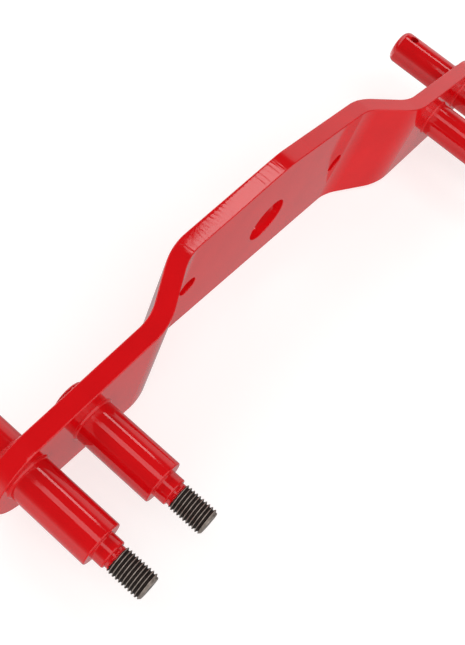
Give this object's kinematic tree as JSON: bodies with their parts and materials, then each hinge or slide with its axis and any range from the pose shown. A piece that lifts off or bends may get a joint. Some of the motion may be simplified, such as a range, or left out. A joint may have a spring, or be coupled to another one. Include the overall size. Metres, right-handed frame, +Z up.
{
  "type": "tow bar hitch beam",
  "caption": "Bent steel hitch beam with threaded shoulder studs in front, drilled hitch pins behind and a bored centre section, painted red.",
  "frame": {"origin": "on the plane of the plate's bottom edge, half way along the beam and half way between the stud tips and the pin ends", "axes": "+X along the beam, -Y the way the threaded studs point, +Y the way the hitch pins point, +Z up from the plate's straight bottom edge to its peaked top edge"},
  "size_m": [0.6226, 0.1778, 0.1175],
  "materials": {
    "plate_paint": "gloss red enamel on bent steel plate",
    "bar_paint": "gloss red enamel on turned bar",
    "weld_paint": "gloss red enamel over weld bead",
    "thread_steel": "dark oiled steel, cut thread, no paint"
  },
  "bodies": {
    "root": {"beam_plate": "plate_paint", "outer_pin_left": "bar_paint", "outer_pin_right": "bar_paint", "inner_stud_left": "bar_paint", "inner_stud_right": "bar_paint", "front_weld_outer_left": "weld_paint", "front_weld_outer_right": "weld_paint", "front_weld_inner_left": "weld_paint", "front_weld_inner_right": "weld_paint", "rear_weld_outer_left": "weld_paint", "rear_weld_outer_right": "weld_paint", "rear_weld_inner_left": "weld_paint", "rear_weld_inner_right": "weld_paint"}
  },
  "joints": []
}
